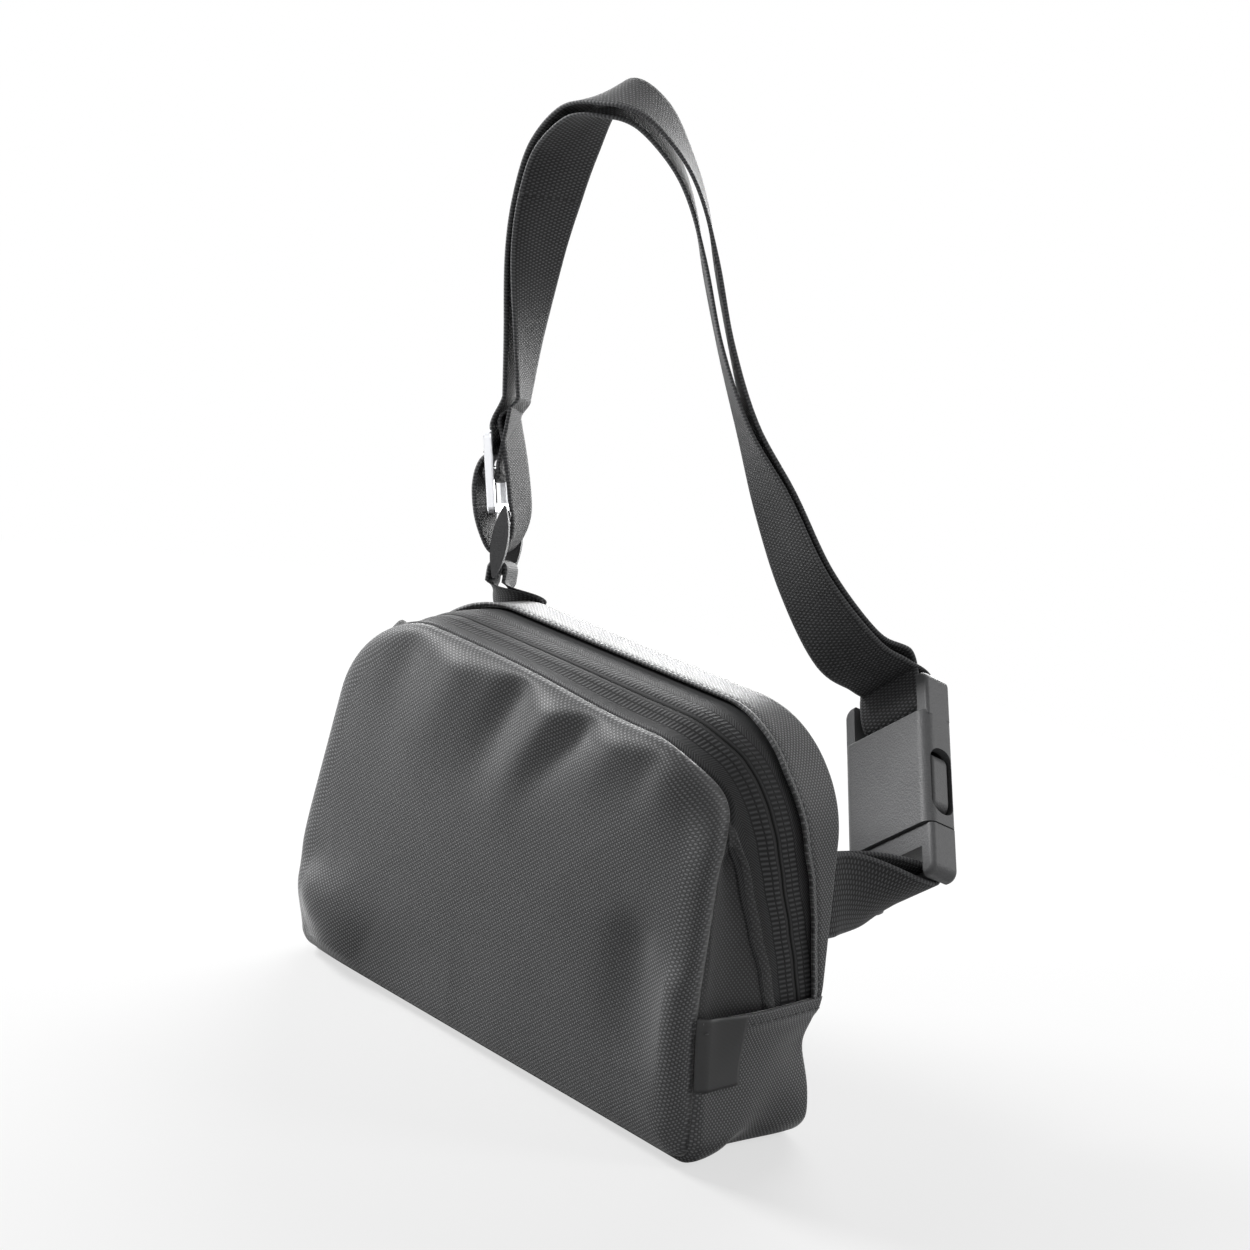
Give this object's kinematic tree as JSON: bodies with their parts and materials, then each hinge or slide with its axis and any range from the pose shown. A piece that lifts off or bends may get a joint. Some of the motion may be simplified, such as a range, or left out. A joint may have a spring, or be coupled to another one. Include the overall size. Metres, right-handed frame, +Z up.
{
  "type": "zipped waist bag",
  "caption": "Small zipped waist bag with a curved double webbing belt, slide adjuster, leaf-legged loop ring and side-release buckle.",
  "frame": {"origin": "middle of the base on the floor, halfway between the front and the back seam", "axes": "+X along the base to the buckle side, +Y from the front panel to the back panel, +Z up"},
  "size_m": [0.2273, 0.1472, 0.3363],
  "materials": {
    "shell_cloth": "matt coated basket-weave polyester, charcoal",
    "zip_tape": "herringbone zip tape with two sewn rows",
    "zip_coil": "matt black coil teeth on the inner side of the tape",
    "zip_metal": "satin black paint",
    "label_satin": "blank satin ribbon label",
    "webbing": "ribbed polyester webbing with dotted selvedges, charcoal",
    "moulded_plastic": "fine-grained moulded acetal, dark grey",
    "adjuster_metal": "satin plated steel"
  },
  "bodies": {
    "bag": {"front_panel": "shell_cloth", "back_panel": "shell_cloth", "base_gusset": "shell_cloth", "front_facing_left": "shell_cloth", "front_facing_right": "shell_cloth", "rear_facing": "shell_cloth", "zip_tape_front": "zip_tape", "zip_tape_rear": "zip_tape", "zip_coil_front": "zip_coil", "zip_coil_rear": "zip_coil", "label": "label_satin", "ring_tab": "webbing", "strap_ring_turn": "webbing", "strap_inner_start": "webbing", "strap_outer_start": "webbing", "strap_inner": "webbing", "strap_outer": "webbing", "strap_inner_end": "webbing", "strap_outer_end": "webbing", "buckle_male": "moulded_plastic", "anchor_webbing": "webbing"},
    "zip_slider": {"zip_slider": "zip_metal"},
    "zip_pull": {"zip_pull": "zip_metal"},
    "loop_ring": {"loop_ring": "moulded_plastic"},
    "tri_glide": {"tri_glide": "adjuster_metal", "strap_glide_wrap": "webbing", "strap_tail": "webbing"},
    "buckle_female": {"buckle_female": "moulded_plastic", "strap_buckle_turn": "webbing"},
    "prong_left": {"buckle_prong_left": "moulded_plastic"},
    "prong_right": {"buckle_prong_right": "moulded_plastic"}
  },
  "joints": [
    {"name": "zip_run", "type": "slide", "parent": "bag", "child": "zip_slider", "axis": [0.1206, -0.325, 0.938], "range_m": [0, 0.03], "deforming": ["zip_tape_front", "zip_tape_rear", "zip_coil_front", "zip_coil_rear"]},
    {"name": "pull_swing", "type": "hinge", "parent": "zip_slider", "child": "zip_pull", "pos_m": [-0.10082, 0.01298, 0.05905], "axis": [0.0414, 0.9457, 0.3223], "range_deg": [0, 150]},
    {"name": "ring_swing", "type": "hinge", "parent": "bag", "child": "loop_ring", "pos_m": [-0.08156, 0.02956, 0.14854], "axis": [-0.561, 0.8012, -0.2082], "range_deg": [-3, 12], "deforming": ["strap_ring_turn", "strap_inner_start"]},
    {"name": "belt_adjust", "type": "slide", "parent": "bag", "child": "tri_glide", "axis": [-0.3011, -0.0201, 0.9534], "range_m": [0, 0.02], "deforming": ["strap_outer_start", "strap_tail", "strap_inner_start", "strap_ring_turn"]},
    {"name": "buckle_release", "type": "slide", "parent": "bag", "child": "buckle_female", "axis": [-0.5639, 0.4479, 0.6938], "range_m": [0, 0.032], "deforming": ["strap_inner_end", "strap_outer_end", "buckle_prong_left", "buckle_prong_right"]},
    {"name": "prong_left_squeeze", "type": "hinge", "parent": "bag", "child": "prong_left", "pos_m": [0.08055, 0.07643, 0.08754], "axis": [0.3153, 0.8933, -0.3204], "range_deg": [0, 8], "stiffness_Nm_per_rad": 0.6},
    {"name": "prong_right_squeeze", "type": "hinge", "parent": "bag", "child": "prong_right", "pos_m": [0.09841, 0.07553, 0.10263], "axis": [-0.3153, -0.8933, 0.3204], "range_deg": [0, 8], "stiffness_Nm_per_rad": 0.6}
  ]
}
